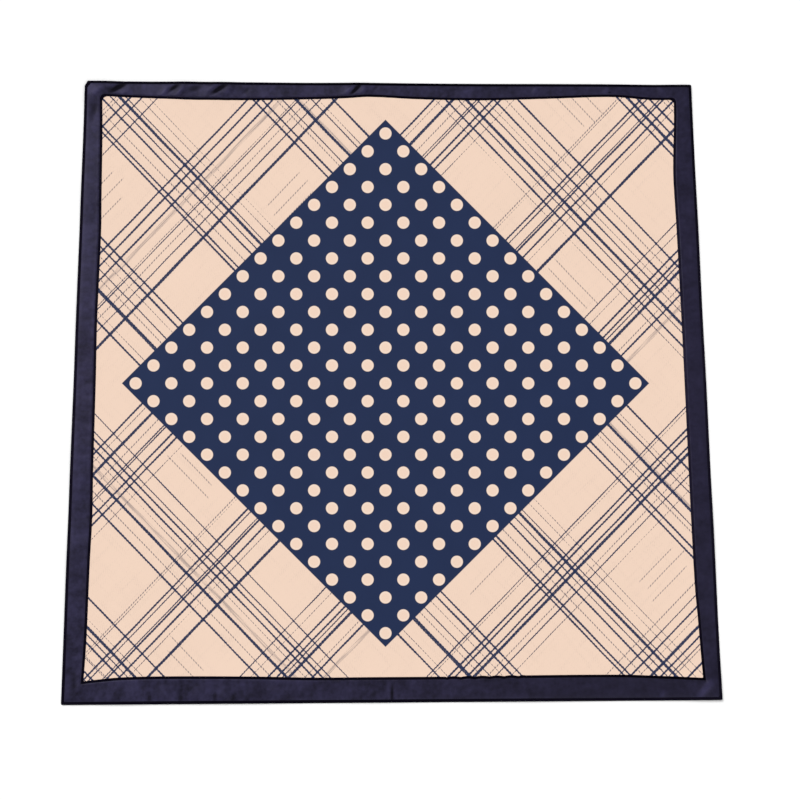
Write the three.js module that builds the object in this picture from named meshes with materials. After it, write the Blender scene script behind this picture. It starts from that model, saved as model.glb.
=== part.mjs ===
import * as THREE from 'three';

// A square silk scarf spread out flat: a printed silk panel inside a sewn satin band.
// Millimetres, +Z up. The origin lies on the surface, under the middle of the scarf,
// and the scarf's near side faces -Y.

const SCARF_SIDE = 900;
const HALF_SIDE = SCARF_SIDE / 2;
const BAND_WIDTH = 30;

// Silk panel, seam and satin band, each with the thickness of soft cloth lying loose.
const PANEL_THICKNESS = 1.0;
const PANEL_EDGE_THICKNESS = 0.7;
const SEAM_GAP = 0.35;
const BAND_THICKNESS = 1.5;
const BACK_SLACK = 0.15;

// Spacing of the cross-lines that carry the cloth's shape.
const PANEL_STEP = 31;
const PANEL_CORNER_STOPS = [0, 6, 16, 34];
const BAND_CREASE_STEP = 6;
const BAND_SPACING = 3.5;
const BAND_CORNER_STOPS = [1, 2, 4];
const BAND_CORNER_SPACING = 0.9;
const CORNER_FAN_REACH = 80;

// How far the ripples of the outer edge reach into the cloth.
const RIPPLE_REACH = 62;

// The four sides, counter-clockwise. `along` is the X place of a row on the near and far
// sides and the Y place on the left and right sides. `width` is the band's width there, and
// `lift` is how high the outer edge ripples. The first and last rows are the seam's corners.
const NEAR_ROWS = [
  { along: -421, width: 31, lift: 0.0 },
  { along: -405, width: 33, lift: 0.3 },
  { along: -370, width: 36, lift: 1.3 },
  { along: -315, width: 37, lift: 0.4 },
  { along: -195, width: 36, lift: 1.0 },
  { along: -110, width: 34, lift: 0.0 },
  { along: -30, width: 34, lift: 0.6 },
  { along: 75, width: 34, lift: 0.0 },
  { along: 185, width: 35, lift: 0.9 },
  { along: 310, width: 35, lift: 0.0 },
  { along: 365, width: 33, lift: 0.7 },
  { along: 425, width: 30, lift: 1.3 },
];
const RIGHT_ROWS = [
  { along: -420, width: 25, lift: 1.3 },
  { along: -395, width: 26, lift: 0.6 },
  { along: -340, width: 28, lift: 0.0 },
  { along: -300, width: 30, lift: 0.7 },
  { along: -215, width: 31, lift: 1.6 },
  { along: -130, width: 31, lift: 0.3 },
  { along: 0, width: 31, lift: 1.3 },
  { along: 90, width: 31, lift: 0.1 },
  { along: 225, width: 32, lift: 1.2 },
  { along: 300, width: 33, lift: 0.3 },
  { along: 330, width: 32, lift: 0.0 },
  { along: 395, width: 28, lift: 0.7 },
  { along: 426, width: 27, lift: 0.9 },
];
const FAR_ROWS = [
  { along: -424, width: 24, lift: 1.7 },
  { along: -410, width: 24, lift: 1.6 },
  { along: -355, width: 26, lift: 1.2 },
  { along: -295, width: 28, lift: 1.7 },
  { along: -205, width: 28, lift: 0.7 },
  { along: -120, width: 26, lift: 0.1 },
  { along: -60, width: 24, lift: 1.2 },
  { along: -30, width: 22, lift: 1.3 },
  { along: 45, width: 25, lift: 0.3 },
  { along: 135, width: 26, lift: 0.0 },
  { along: 240, width: 23, lift: 1.0 },
  { along: 330, width: 20, lift: 1.3 },
  { along: 390, width: 24, lift: 0.4 },
  { along: 423, width: 24, lift: 0.9 },
];
const LEFT_ROWS = [
  { along: -419, width: 29, lift: 0.0 },
  { along: -365, width: 31, lift: 0.6 },
  { along: -255, width: 32, lift: 1.7 },
  { along: -195, width: 33, lift: 0.4 },
  { along: -130, width: 32, lift: 1.3 },
  { along: 0, width: 31, lift: 0.1 },
  { along: 85, width: 30, lift: 1.4 },
  { along: 220, width: 31, lift: 0.4 },
  { along: 265, width: 30, lift: 1.3 },
  { along: 360, width: 28, lift: 0.6 },
  { along: 426, width: 26, lift: 1.7 },
];

// A corner's reach along the side before it and along its own side. A flatness of 1 rounds
// the corner off, and 2 cuts it straight.
const rounded = (radius) => ({ before: radius, along: radius, flatness: 1 });
const cut = (before, along) => ({ before, along, flatness: 2 });

// Each side starts at one corner of the outer edge and of the seam.
const SIDES = [
  { start: [-1, -1], run: [1, 0], inward: [0, 1], rows: NEAR_ROWS, corner: rounded(2), seam: rounded(1.5) },
  { start: [1, -1], run: [0, 1], inward: [-1, 0], rows: RIGHT_ROWS, corner: rounded(2), seam: rounded(1.5) },
  { start: [1, 1], run: [-1, 0], inward: [0, -1], rows: FAR_ROWS, corner: rounded(2), seam: rounded(8) },
  { start: [-1, 1], run: [0, -1], inward: [1, 0], rows: LEFT_ROWS, corner: cut(4.1, 7.9), seam: rounded(8) },
];

// Creases of the satin band, on the broad swells that they rise from. `heading` is the
// crease's direction in degrees from +X. Lengths and widths are end to end, and a negative
// `height` is a trough in the swell round it.
const CREASES = [
  { name: 'far left corner swell', x: -425, y: 436, heading: 38, length: 72, width: 44, height: 1.1 },
  { name: 'far left corner ridge', x: -432, y: 434, heading: 41, length: 34, width: 13, height: 1.0 },
  { name: 'far left first trough', x: -401, y: 439, heading: 26, length: 36, width: 11, height: -1.5 },
  { name: 'far left first ridge', x: -390, y: 434, heading: 26, length: 30, width: 14, height: 0.8 },
  { name: 'far left pair swell', x: -312, y: 437, heading: 30, length: 78, width: 42, height: 1.1 },
  { name: 'far left pair ridge one', x: -333, y: 434, heading: 50, length: 26, width: 10, height: 1.3 },
  { name: 'far left pair ridge two', x: -310, y: 434, heading: 50, length: 26, width: 10, height: 1.4 },
  { name: 'far left pair trough', x: -320, y: 440, heading: 36, length: 30, width: 9, height: -1.2 },
  { name: 'far left soft trough', x: -289, y: 439, heading: 18, length: 34, width: 14, height: -1.0 },
  { name: 'far left third swell', x: -252, y: 438, heading: 32, length: 70, width: 40, height: 1.1 },
  { name: 'far left third trough', x: -253, y: 438, heading: 34, length: 34, width: 10, height: -1.6 },
  { name: 'far left third ridge', x: -264, y: 440, heading: 34, length: 28, width: 11, height: 0.9 },
  { name: 'far left fourth ridge', x: -240, y: 436, heading: 36, length: 26, width: 12, height: 0.8 },
  { name: 'far middle swell', x: -49, y: 439, heading: 40, length: 66, width: 44, height: 1.0 },
  { name: 'far middle left ridge', x: -61, y: 438, heading: 40, length: 28, width: 10, height: 1.2 },
  { name: 'far middle trough', x: -50, y: 439, heading: 43, length: 28, width: 9, height: -1.6 },
  { name: 'far middle right ridge', x: -40, y: 437, heading: 50, length: 22, width: 10, height: 1.1 },
  { name: 'far right small ridge', x: 216, y: 440, heading: 60, length: 20, width: 10, height: 0.7 },
  { name: 'far right second ridge', x: 321, y: 438, heading: 35, length: 20, width: 10, height: 0.6 },
  { name: 'near left corner swell', x: -430, y: -431, heading: 62, length: 56, width: 30, height: 0.8 },
  { name: 'near left pucker one', x: -310, y: -438, heading: 90, length: 34, width: 24, height: 0.9 },
  { name: 'near left pucker two', x: -266, y: -438, heading: 90, length: 36, width: 26, height: 1.0 },
  { name: 'near left pucker three', x: -230, y: -440, heading: 84, length: 30, width: 18, height: 0.8 },
  { name: 'near left long ridge', x: -152, y: -437, heading: -17, length: 56, width: 15, height: 1.4 },
  { name: 'near middle small ridge', x: -33, y: -437, heading: 30, length: 18, width: 9, height: 0.7 },
  { name: 'join left lip', x: -6, y: -434, heading: 88, length: 44, width: 9, height: 0.7 },
  { name: 'join right lip', x: 2, y: -434, heading: 90, length: 44, width: 7, height: 0.4 },
  { name: 'near right corner ridge', x: 427, y: -435, heading: 47, length: 46, width: 14, height: 2.0 },
  { name: 'near right small ridge', x: 368, y: -443, heading: 55, length: 16, width: 9, height: 0.7 },
];

// Low broad swells of the loose cloth inside the seam.
const SWELLS = [
  { name: 'far left swell', x: -352, y: 352, heading: 46, length: 190, width: 74, height: 1.0 },
  { name: 'far right swell', x: 338, y: 371, heading: -28, length: 210, width: 66, height: 0.8 },
  { name: 'right swell', x: 366, y: 36, heading: 82, length: 230, width: 70, height: 0.9 },
  { name: 'near right swell', x: 340, y: -352, heading: 48, length: 200, width: 72, height: 1.0 },
  { name: 'near left swell', x: -318, y: -366, heading: 12, length: 230, width: 66, height: 0.9 },
  { name: 'left swell', x: -372, y: -84, heading: 97, length: 220, width: 64, height: 0.8 },
];

// Section of the band from the outer edge to the seam and back. A point's inset is
// `offset` plus `share` of the width. A point of the face stands `raise` over the band's
// thickness, and the points of the underside follow the surface.
const BAND_SECTION = [
  { name: 'outer edge foot', offset: 0.5, share: 0, face: false },
  { name: 'outer edge', offset: 0, share: 0, face: true, raise: -0.7 },
  { name: 'hem crown', offset: 1.6, share: 0, face: true, raise: 0.5 },
  { name: 'hem stitch line', offset: 4.2, share: 0, face: true, raise: -0.35 },
  { name: 'face beside hem', offset: 6.6, share: 0, face: true, raise: 0 },
  { name: 'face outer middle', offset: 3.0, share: 0.3, face: true, raise: 0 },
  { name: 'face inner middle', offset: 1.0, share: 0.6, face: true, raise: 0 },
  { name: 'face beside seam', offset: -5.5, share: 1, face: true, raise: 0 },
  { name: 'seam crown', offset: -1.6, share: 1, face: true, raise: 0.1 },
  { name: 'seam edge', offset: 0, share: 1, face: true, raise: -0.6 },
  { name: 'seam edge foot', offset: 0, share: 1, face: false },
  { name: 'underside middle', offset: 2.0, share: 0.45, face: false },
];

const COLOURS = { printedSilk: 0xf1d5bf, satinBand: 0x2a2540 };

// A smooth bump, 1 in its middle and 0 from a distance of 1 outwards.
function bump(distance) {
  const rest = Math.max(0, 1 - distance * distance);
  return rest * rest;
}

// A column's value at a place between the rows, on a smooth curve through them.
function valueAt(rows, column, along) {
  const last = rows.length - 1;
  const place = THREE.MathUtils.clamp(along, rows[0].along, rows[last].along);
  let index = 0;
  while (index < last - 1 && rows[index + 1].along < place) {
    index += 1;
  }
  const before = rows[Math.max(index - 1, 0)];
  const from = rows[index];
  const to = rows[index + 1];
  const after = rows[Math.min(index + 2, last)];
  const span = to.along - from.along;
  const t = (place - from.along) / span;
  const slopeFrom = (to[column] - before[column]) / (to.along - before.along);
  const slopeTo = (after[column] - from[column]) / (after.along - from.along);
  const t2 = t * t;
  const t3 = t2 * t;
  return (2 * t3 - 3 * t2 + 1) * from[column]
    + (t3 - 2 * t2 + t) * slopeFrom * span
    + (3 * t2 - 2 * t3) * to[column]
    + (t3 - t2) * slopeTo * span;
}

// Height that one ridge, trough or swell adds at a point.
function foldHeight(fold, x, y) {
  const heading = THREE.MathUtils.degToRad(fold.heading);
  const dx = x - fold.x;
  const dy = y - fold.y;
  const lengthwise = dx * Math.cos(heading) + dy * Math.sin(heading);
  const crosswise = dy * Math.cos(heading) - dx * Math.sin(heading);
  return fold.height * bump(lengthwise * 2 / fold.length) * bump(crosswise * 2 / fold.width);
}

// Height of the ripples that run in from the outer edges.
function rippleHeight(x, y) {
  return SIDES.reduce((sum, side) => {
    const onX = side.run[0] !== 0;
    const distance = HALF_SIDE + x * side.inward[0] + y * side.inward[1];
    const lift = Math.max(0, valueAt(side.rows, 'lift', onX ? x : y));
    return sum + lift * bump(distance / RIPPLE_REACH);
  }, 0);
}

// Lift of the cloth above its flat lie at a point.
function lift(x, y) {
  const folds = [...CREASES, ...SWELLS].reduce((sum, fold) => sum + foldHeight(fold, x, y), 0);
  return Math.max(0, folds + rippleHeight(x, y));
}

// The underside leaves the surface only where the cloth is lifted clear of it.
function backHeight(x, y) {
  return Math.max(0, lift(x, y) - BACK_SLACK);
}

// Place on a corner for a nominal distance from the square corner: how far along the side
// and how far inward of it. The corner reaches `reach` along this side and `otherReach`
// along its neighbour.
function cornerPlace(distance, reach, otherReach, flatness) {
  if (distance >= reach) {
    return { along: distance, inward: 0 };
  }
  const angle = (1 - distance / reach) * Math.PI / 4;
  return {
    along: reach * (1 - Math.sin(angle) ** flatness),
    inward: otherReach * (1 - Math.cos(angle) ** flatness),
  };
}

// A point of a side, from a nominal distance along it and an inward distance, with both
// its corners shaped.
function sidePoint(side, start, length, distance, inward, startCorner, endCorner) {
  const { before, along: reach, flatness } = startCorner;
  const fromStart = cornerPlace(distance, reach, before, flatness);
  const fromEnd = cornerPlace(length - distance, endCorner.before, endCorner.along, endCorner.flatness);
  const along = distance < length / 2 ? fromStart.along : length - fromEnd.along;
  const depth = inward + fromStart.inward + fromEnd.inward;
  return new THREE.Vector2(
    start.x + side.run[0] * along + side.inward[0] * depth,
    start.y + side.run[1] * along + side.inward[1] * depth,
  );
}

// Distances of the cross-lines along a length, close together at both ends.
function stops(length, cornerStops, step) {
  const reach = cornerStops[cornerStops.length - 1];
  const count = Math.round((length - 2 * reach) / step);
  const middle = Array.from({ length: count - 1 }, (_, i) => reach + (length - 2 * reach) * (i + 1) / count);
  return [...cornerStops, ...middle, ...cornerStops.map((stop) => length - stop).reverse()];
}

// Width of a side's band at its first corner and at its last, in the direction it runs.
function endWidths(side) {
  const widths = [side.rows[0].width, side.rows[side.rows.length - 1].width];
  return side.run[0] + side.run[1] > 0 ? widths : widths.reverse();
}

// The seam's square corner at the start of each side.
function seamCorner(index) {
  const side = SIDES[index];
  const previous = SIDES[(index + 3) % 4];
  const inset = endWidths(side)[0];
  const previousInset = endWidths(previous)[1];
  return new THREE.Vector2(
    side.start[0] * HALF_SIDE + side.inward[0] * inset + previous.inward[0] * previousInset,
    side.start[1] * HALF_SIDE + side.inward[1] * inset + previous.inward[1] * previousInset,
  );
}

// The seam along each side, as points at the panel's cross-lines.
const seams = SIDES.map((side, index) => {
  const start = seamCorner(index);
  const end = seamCorner((index + 1) % 4);
  const length = Math.abs(side.run[0] * (end.x - start.x) + side.run[1] * (end.y - start.y));
  const distances = stops(length, PANEL_CORNER_STOPS, PANEL_STEP);
  const baseWidth = endWidths(side)[0];
  const points = distances.map((distance) => {
    const place = (side.run[0] !== 0 ? start.x : start.y) + (side.run[0] + side.run[1]) * distance;
    const extra = valueAt(side.rows, 'width', place) - baseWidth;
    const next = SIDES[(index + 1) % 4];
    return sidePoint(side, start, length, distance, extra, side.seam, next.seam);
  });
  return { distances, length, points };
});

// The seam's point at any distance from its start, on the straight runs between its points.
function seamPoint(index, distance) {
  const { distances, points } = seams[index];
  let segment = 0;
  while (segment < distances.length - 2 && distances[segment + 1] < distance) {
    segment += 1;
  }
  const span = distances[segment + 1] - distances[segment];
  const share = THREE.MathUtils.clamp((distance - distances[segment]) / span, 0, 1);
  return points[segment].clone().lerp(points[segment + 1], share);
}

// Points and faces of one closed mesh.
class ClothMesh {
  constructor() {
    this.positions = [];
    this.faces = [];
  }

  point(x, y, z) {
    this.positions.push(x, y, z);
    return this.positions.length / 3 - 1;
  }

  quad(a, b, c, d) {
    this.faces.push(a, b, c, a, c, d);
  }

  geometry() {
    const geometry = new THREE.BufferGeometry();
    geometry.setAttribute('position', new THREE.Float32BufferAttribute(this.positions, 3));
    geometry.setIndex(this.faces);
    geometry.computeVertexNormals();
    return geometry;
  }
}

// The panel: a sheet of cross-lines stretched between its four sewn edges.
function panelGeometry() {
  const [near, right, far, left] = seams.map((seam) => seam.points);
  const columns = near.length - 1;
  const lines = right.length - 1;
  const centreward = (point) => point.clone().multiplyScalar(1 - SEAM_GAP / (HALF_SIDE - BAND_WIDTH));
  const edgePoint = (points, index) => centreward(points[index]);
  const share = (distances, index, length) => distances[index] / length;
  const corners = [near[0], near[columns], far[0], far[columns]].map(centreward);
  const mesh = new ClothMesh();
  const face = [];
  const back = [];
  for (let line = 0; line <= lines; line += 1) {
    const v = share(seams[1].distances, line, seams[1].length);
    for (let column = 0; column <= columns; column += 1) {
      const u = share(seams[0].distances, column, seams[0].length);
      const below = edgePoint(near, column);
      const above = edgePoint(far, columns - column);
      const west = edgePoint(left, lines - line);
      const east = edgePoint(right, line);
      const [nearLeft, nearRight, farRight, farLeft] = corners;
      const place = below.multiplyScalar(1 - v).addScaledVector(above, v)
        .addScaledVector(west, 1 - u).addScaledVector(east, u)
        .addScaledVector(nearLeft, -(1 - u) * (1 - v)).addScaledVector(nearRight, -u * (1 - v))
        .addScaledVector(farRight, -u * v).addScaledVector(farLeft, -(1 - u) * v);
      const onEdge = line === 0 || line === lines || column === 0 || column === columns;
      const thickness = onEdge ? PANEL_EDGE_THICKNESS : PANEL_THICKNESS;
      face.push(mesh.point(place.x, place.y, lift(place.x, place.y) + thickness));
      back.push(mesh.point(place.x, place.y, backHeight(place.x, place.y)));
    }
  }
  const at = (line, column) => line * (columns + 1) + column;
  for (let line = 0; line < lines; line += 1) {
    for (let column = 0; column < columns; column += 1) {
      const cell = [at(line, column), at(line, column + 1), at(line + 1, column + 1), at(line + 1, column)];
      mesh.quad(...cell.map((index) => face[index]));
      mesh.quad(...cell.map((index) => back[index]).reverse());
    }
  }
  const rim = [];
  for (let column = 0; column < columns; column += 1) rim.push(at(0, column));
  for (let line = 0; line < lines; line += 1) rim.push(at(line, columns));
  for (let column = columns; column > 0; column -= 1) rim.push(at(lines, column));
  for (let line = lines; line > 0; line -= 1) rim.push(at(line, 0));
  rim.forEach((index, place) => {
    const next = rim[(place + 1) % rim.length];
    mesh.quad(back[index], back[next], face[next], face[index]);
  });
  return mesh.geometry();
}

// Distances along the seam of the band's cross-lines: the seam's own points, a few more at
// the corners, and close ones where a crease crosses the band.
function bandStops(side, index) {
  const { distances, length } = seams[index];
  const sign = side.run[0] + side.run[1];
  const seamStart = sign * (side.run[0] !== 0 ? seamCorner(index).x : seamCorner(index).y);
  const corners = BAND_CORNER_STOPS.flatMap((stop) => [stop, length - stop]);
  const closeStops = CREASES.filter((crease) => {
    const inset = HALF_SIDE + crease.x * side.inward[0] + crease.y * side.inward[1];
    return inset < side.rows[0].width;
  }).flatMap((crease) => {
    const middle = sign * (side.run[0] !== 0 ? crease.x : crease.y) - seamStart;
    const reach = Math.min(crease.width, crease.length) / 2 + BAND_CREASE_STEP;
    const count = Math.ceil(reach / BAND_CREASE_STEP);
    return Array.from({ length: 2 * count + 1 }, (_, i) => middle + (i - count) * BAND_CREASE_STEP);
  });
  const kept = [...distances];
  [...corners, ...closeStops].forEach((stop) => {
    const inside = stop > 0 && stop < length;
    const needed = corners.includes(stop) ? BAND_CORNER_SPACING : BAND_SPACING;
    if (inside && kept.every((other) => Math.abs(other - stop) >= needed)) kept.push(stop);
  });
  return kept.sort((one, two) => one - two).slice(0, -1);
}

// The cross-lines of the band: for each, its outer point, its seam point and its width.
// They fan out at the corners and run straight across elsewhere.
function bandLines() {
  const fan = (distance) => Math.max(0, 1 - distance / CORNER_FAN_REACH) ** 2;
  return SIDES.flatMap((side, index) => {
    const start = new THREE.Vector2(side.start[0] * HALF_SIDE, side.start[1] * HALF_SIDE);
    const next = SIDES[(index + 1) % 4];
    const startInset = endWidths(SIDES[(index + 3) % 4])[1];
    const endInset = endWidths(next)[0];
    const { length } = seams[index];
    return bandStops(side, index).map((distance) => {
      const outerDistance = distance + startInset * (1 - fan(distance)) + endInset * fan(length - distance);
      const outer = sidePoint(side, start, SCARF_SIDE, outerDistance, 0, side.corner, next.corner);
      const seam = seamPoint(index, distance);
      const reach = seam.clone().sub(outer);
      const width = Math.abs(reach.x * side.inward[0] + reach.y * side.inward[1]);
      return { outer, seam, width };
    });
  });
}

// The band: its section carried once round the scarf and closed on itself.
function bandGeometry() {
  const mesh = new ClothMesh();
  const rings = bandLines().map(({ outer, seam, width }) => BAND_SECTION.map((row) => {
    const inset = row.offset + row.share * width;
    const place = outer.clone().lerp(seam, inset / width);
    const faceHeight = BAND_THICKNESS + row.raise + lift(place.x, place.y);
    return mesh.point(place.x, place.y, row.face ? faceHeight : backHeight(place.x, place.y));
  }));
  rings.forEach((ring, index) => {
    const nextRing = rings[(index + 1) % rings.length];
    ring.forEach((corner, place) => {
      const other = (place + 1) % ring.length;
      mesh.quad(corner, nextRing[place], nextRing[other], ring[other]);
    });
  });
  return mesh.geometry();
}

function piece(name, geometry, colour, roughness) {
  const material = new THREE.MeshStandardMaterial({ color: colour, roughness, metalness: 0 });
  const mesh = new THREE.Mesh(geometry, material);
  mesh.name = name;
  return mesh;
}

const scarf = new THREE.Group();
scarf.add(piece('centre_panel', panelGeometry(), COLOURS.printedSilk, 0.6));
scarf.add(piece('border_band', bandGeometry(), COLOURS.satinBand, 0.4));

export default scarf;
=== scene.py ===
# %% [markdown]
# # A square silk scarf, laid out flat
# The scarf is a light printed silk centre with a dark satin band sewn all round it. Nothing is
# stiff, so its looks come from three things: an outline that is never quite straight, a shallow
# relief of creases in the band, and two very different surfaces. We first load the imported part,
# which gives the real size and the places that every piece has to keep.

# %% Load the part and measure it
import math

import bpy
import numpy as np
from mathutils import Matrix, Vector


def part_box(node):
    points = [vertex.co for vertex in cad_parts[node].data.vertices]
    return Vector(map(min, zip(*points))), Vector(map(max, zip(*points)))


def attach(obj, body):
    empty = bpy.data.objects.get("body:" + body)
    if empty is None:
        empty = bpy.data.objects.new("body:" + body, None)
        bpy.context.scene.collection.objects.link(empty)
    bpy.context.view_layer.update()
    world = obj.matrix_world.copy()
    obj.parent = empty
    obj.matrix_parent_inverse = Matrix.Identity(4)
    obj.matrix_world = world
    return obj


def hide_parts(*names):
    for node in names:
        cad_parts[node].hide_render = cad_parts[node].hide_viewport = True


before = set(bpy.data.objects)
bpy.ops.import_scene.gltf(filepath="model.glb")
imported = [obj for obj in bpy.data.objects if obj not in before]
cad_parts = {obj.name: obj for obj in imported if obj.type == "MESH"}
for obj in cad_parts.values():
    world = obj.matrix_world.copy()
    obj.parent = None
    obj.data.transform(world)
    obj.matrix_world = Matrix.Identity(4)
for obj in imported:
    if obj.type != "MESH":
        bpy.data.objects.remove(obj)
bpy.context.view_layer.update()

MM = 0.001
band_low, band_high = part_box("border_band")
SIDE = (band_high.x - band_low.x) / MM
HALF = SIDE / 2
print(f"the scarf is {SIDE:.0f} mm square, its band {(band_high.z - band_low.z) / MM:.1f} mm high")

# %% [markdown]
# ## The four sides
# Sewn silk is uneven: the band is a few millimetres wider in one place than in another, and its
# outer edge lifts off the table in soft ripples. A dozen rows or so for each side hold that, in
# whole millimetres of width, and a smooth curve through the rows gives every place between them.
# We could push single vertices about instead, but rows can be read, and the panel and the band
# can share them.

# %% Rows along each side
SIDE_COLUMNS = [("along", float), ("width", float), ("lift", float)]


def rows_of_side(*rows):
    """Rows of (place along the side, width of the band, lift of the outer edge), in mm."""
    return np.array(list(rows), dtype=SIDE_COLUMNS)


NEAR_ROWS = rows_of_side(
    (-421, 31, 0.0), (-405, 33, 0.3), (-370, 36, 1.3), (-315, 37, 0.4),
    (-195, 36, 1.0), (-110, 34, 0.0), (-30, 34, 0.6), (75, 34, 0.0),
    (185, 35, 0.9), (310, 35, 0.0), (365, 33, 0.7), (425, 30, 1.3),
)
RIGHT_ROWS = rows_of_side(
    (-420, 25, 1.3), (-395, 26, 0.6), (-340, 28, 0.0), (-300, 30, 0.7),
    (-215, 31, 1.6), (-130, 31, 0.3), (0, 31, 1.3), (90, 31, 0.1),
    (225, 32, 1.2), (300, 33, 0.3), (330, 32, 0.0), (395, 28, 0.7), (426, 27, 0.9),
)
FAR_ROWS = rows_of_side(
    (-424, 24, 1.7), (-410, 24, 1.6), (-355, 26, 1.2), (-295, 28, 1.7),
    (-205, 28, 0.7), (-120, 26, 0.1), (-60, 24, 1.2), (-30, 22, 1.3),
    (45, 25, 0.3), (135, 26, 0.0), (240, 23, 1.0), (330, 20, 1.3),
    (390, 24, 0.4), (423, 24, 0.9),
)
LEFT_ROWS = rows_of_side(
    (-419, 29, 0.0), (-365, 31, 0.6), (-255, 32, 1.7), (-195, 33, 0.4),
    (-130, 32, 1.3), (0, 31, 0.1), (85, 30, 1.4), (220, 31, 0.4),
    (265, 30, 1.3), (360, 28, 0.6), (426, 26, 1.7),
)

def rounded(radius):
    """A corner with a round edge, as its reach along the side before it and along its own side."""
    return {"before": radius, "along": radius, "flatness": 1}


def cut_off(before, along):
    """A corner that is cut off straight, which a flatness of 2 gives."""
    return {"before": before, "along": along, "flatness": 2}


# Counter-clockwise: the outer corner that a side starts at, the way it runs, the way inwards,
# and the shape of that corner on the outer edge and on the seam.
SIDES = [
    {
        "start": (-1, -1), "run": (1, 0), "inward": (0, 1), "rows": NEAR_ROWS,
        "corner": rounded(2), "seam": rounded(1.5),
    },
    {
        "start": (1, -1), "run": (0, 1), "inward": (-1, 0), "rows": RIGHT_ROWS,
        "corner": rounded(2), "seam": rounded(1.5),
    },
    {
        "start": (1, 1), "run": (-1, 0), "inward": (0, -1), "rows": FAR_ROWS,
        "corner": rounded(2), "seam": rounded(8),
    },
    {
        "start": (-1, 1), "run": (0, -1), "inward": (1, 0), "rows": LEFT_ROWS,
        "corner": cut_off(4.1, 7.9), "seam": rounded(8),
    },
]


def value_at(rows, column, along):
    """A column's value at places between the rows, on a smooth curve through them."""
    x, y = rows["along"], rows[column]
    place = np.clip(along, x[0], x[-1])
    here = np.clip(np.searchsorted(x, place) - 1, 0, len(x) - 2)
    before, after = np.maximum(here - 1, 0), np.minimum(here + 2, len(x) - 1)
    span = x[here + 1] - x[here]
    t = (place - x[here]) / span
    slope_here = (y[here + 1] - y[before]) / (x[here + 1] - x[before])
    slope_next = (y[after] - y[here]) / (x[after] - x[here])
    return (
        (2 * t**3 - 3 * t**2 + 1) * y[here]
        + (t**3 - 2 * t**2 + t) * slope_here * span
        + (3 * t**2 - 2 * t**3) * y[here + 1]
        + (t**3 - t**2) * slope_next * span
    )


for side in SIDES:
    widths = side["rows"]["width"]
    print(f"band from {widths.min():.1f} to {widths.max():.1f} mm wide, {len(widths)} rows")

# %% [markdown]
# ## Creases
# A crease in satin is a short ridge or trough that rises and fades smoothly. Each is one row:
# where it lies, which way it points, how long, wide and high it is. A negative height is a
# trough. The broad swells of the silk inside the band are rows of the same kind. A cloth
# simulation would give creases too, but not these creases in these places.

# %% Rows of creases and swells, and the height that they add
# Name, x, y, heading in degrees from +X, length, width, height.
CREASES = [
    ("far left corner swell", -425, 436, 38, 72, 44, 1.1),
    ("far left corner ridge", -432, 434, 41, 34, 13, 1.0),
    ("far left first trough", -402, 440, 31, 42, 11, -1.6),
    ("far left first ridge", -390, 434, 26, 30, 14, 0.8),
    ("far left pair swell", -312, 437, 30, 78, 42, 1.1),
    ("far left pair ridge one", -333, 434, 50, 26, 10, 1.3),
    ("far left pair ridge two", -310, 434, 50, 26, 10, 1.4),
    ("far left pair trough", -320, 440, 36, 30, 9, -1.2),
    ("far left soft trough", -289, 439, 18, 34, 14, -0.7),
    ("far left third swell", -252, 438, 32, 70, 40, 1.1),
    ("far left third trough", -253, 439, 34, 38, 10, -1.7),
    ("far left third ridge", -264, 440, 34, 28, 11, 0.9),
    ("far left fourth ridge", -240, 436, 36, 26, 12, 0.8),
    ("far middle swell", -49, 439, 40, 66, 44, 1.0),
    ("far middle left ridge", -61, 438, 40, 28, 10, 1.2),
    ("far middle trough", -51, 440, 46, 34, 9, -1.7),
    ("far middle right ridge", -40, 437, 50, 22, 10, 1.1),
    ("far right small ridge", 216, 440, 60, 20, 10, 0.7),
    ("far right second ridge", 321, 438, 35, 20, 10, 0.6),
    ("near left corner swell", -430, -431, 62, 56, 30, 0.8),
    ("near left pucker one", -310, -438, 90, 34, 24, 0.9),
    ("near left pucker two", -266, -438, 90, 36, 26, 1.0),
    ("near left pucker three", -230, -440, 84, 30, 18, 0.8),
    ("near left long ridge", -152, -437, -17, 56, 15, 1.4),
    ("near middle small ridge", -33, -437, 30, 18, 9, 0.7),
    ("join left lip", -6, -434, 88, 44, 9, 0.7),
    ("join right lip", 2, -434, 90, 44, 7, 0.4),
    ("near right corner ridge", 427, -435, 47, 46, 14, 2.0),
    ("near right small ridge", 368, -442, 55, 20, 10, 0.9),
]
SWELLS = [
    ("far left swell", -352, 352, 46, 190, 74, 1.0),
    ("far right swell", 338, 371, -28, 210, 66, 0.8),
    ("right swell", 366, 36, 82, 230, 70, 0.9),
    ("near right swell", 340, -352, 48, 200, 72, 1.0),
    ("near left swell", -318, -366, 12, 230, 66, 0.9),
    ("left swell", -372, -84, 97, 220, 64, 0.8),
]
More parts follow.
